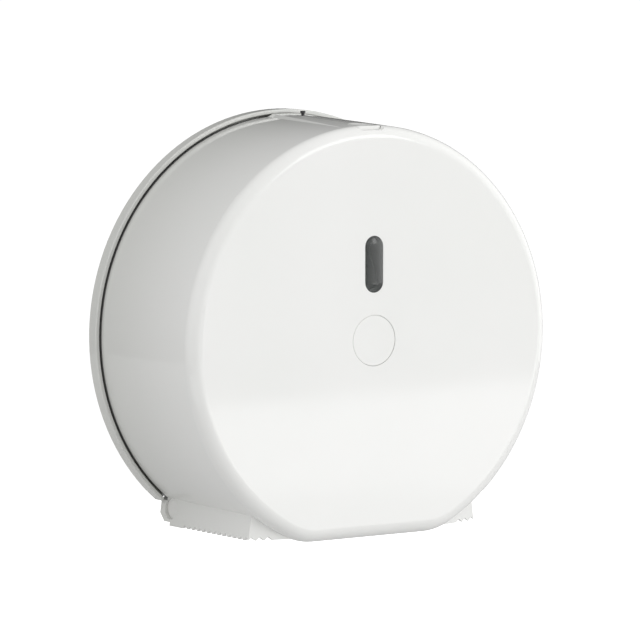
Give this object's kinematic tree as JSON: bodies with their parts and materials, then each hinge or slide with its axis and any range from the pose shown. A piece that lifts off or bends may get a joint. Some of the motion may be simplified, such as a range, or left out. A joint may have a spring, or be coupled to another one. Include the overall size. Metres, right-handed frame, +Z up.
{
  "type": "jumbo toilet roll dispenser",
  "caption": "Wall-mounted drum-shaped toilet roll dispenser with a drop-down cover, sight window, toothed paper outlet, turning roll hub and a latch lever in the top.",
  "frame": {"origin": "the point where the drum's axis meets the wall, on the back face of the wall plate", "axes": "+Y points into the wall, so the front faces -Y; +X points right as seen from the front; +Z is up"},
  "size_m": [0.273, 0.1106, 0.2575],
  "materials": {
    "white_shell": "glossy white moulded plastic",
    "white_inner": "satin off-white moulded plastic",
    "smoked_window": "smoked transparent plastic",
    "zinc_steel": "zinc-plated steel",
    "black_knob": "black moulded plastic"
  },
  "bodies": {
    "wall_side": {"wall_plate": "white_shell", "hinge_pins": "white_inner", "spindle": "white_inner", "spindle_screws": "zinc_steel", "spindle_cap": "white_inner", "cap_screw": "zinc_steel", "catch_plate": "white_inner", "catch_screws": "zinc_steel"},
    "hub": {"roll_hub": "white_inner"},
    "cover": {"cover_shell": "white_shell", "window_lens": "smoked_window", "window_frame": "white_inner", "centre_plug": "white_shell", "latch_tray": "white_inner", "tray_screws": "zinc_steel", "pivot_pin": "zinc_steel", "return_spring": "zinc_steel"},
    "lever": {"latch_lever": "white_shell"},
    "lock": {"lock_barrel": "white_inner", "lock_knob": "black_knob", "lock_clip": "zinc_steel"}
  },
  "joints": [
    {"name": "cover_swing", "type": "hinge", "parent": "wall_side", "child": "cover", "pos_m": [0, -0.013, -0.10764], "axis": [1, 0, 0], "range_deg": [0, 90]},
    {"name": "hub_spin", "type": "hinge", "parent": "wall_side", "child": "hub", "pos_m": [0, -0.05, 0], "axis": [0, 1, 0], "continuous": true},
    {"name": "latch_press", "type": "hinge", "parent": "cover", "child": "lever", "pos_m": [0, -0.045, 0.1264], "axis": [1, 0, 0], "range_deg": [0, 4], "stiffness_Nm_per_rad": 0.08, "springref_deg": -22.92, "deforming": ["return_spring"]},
    {"name": "lock_turn", "type": "hinge", "parent": "cover", "child": "lock", "pos_m": [0, -0.03, 0.125], "axis": [0, 0, -1], "range_deg": [0, 90]}
  ]
}
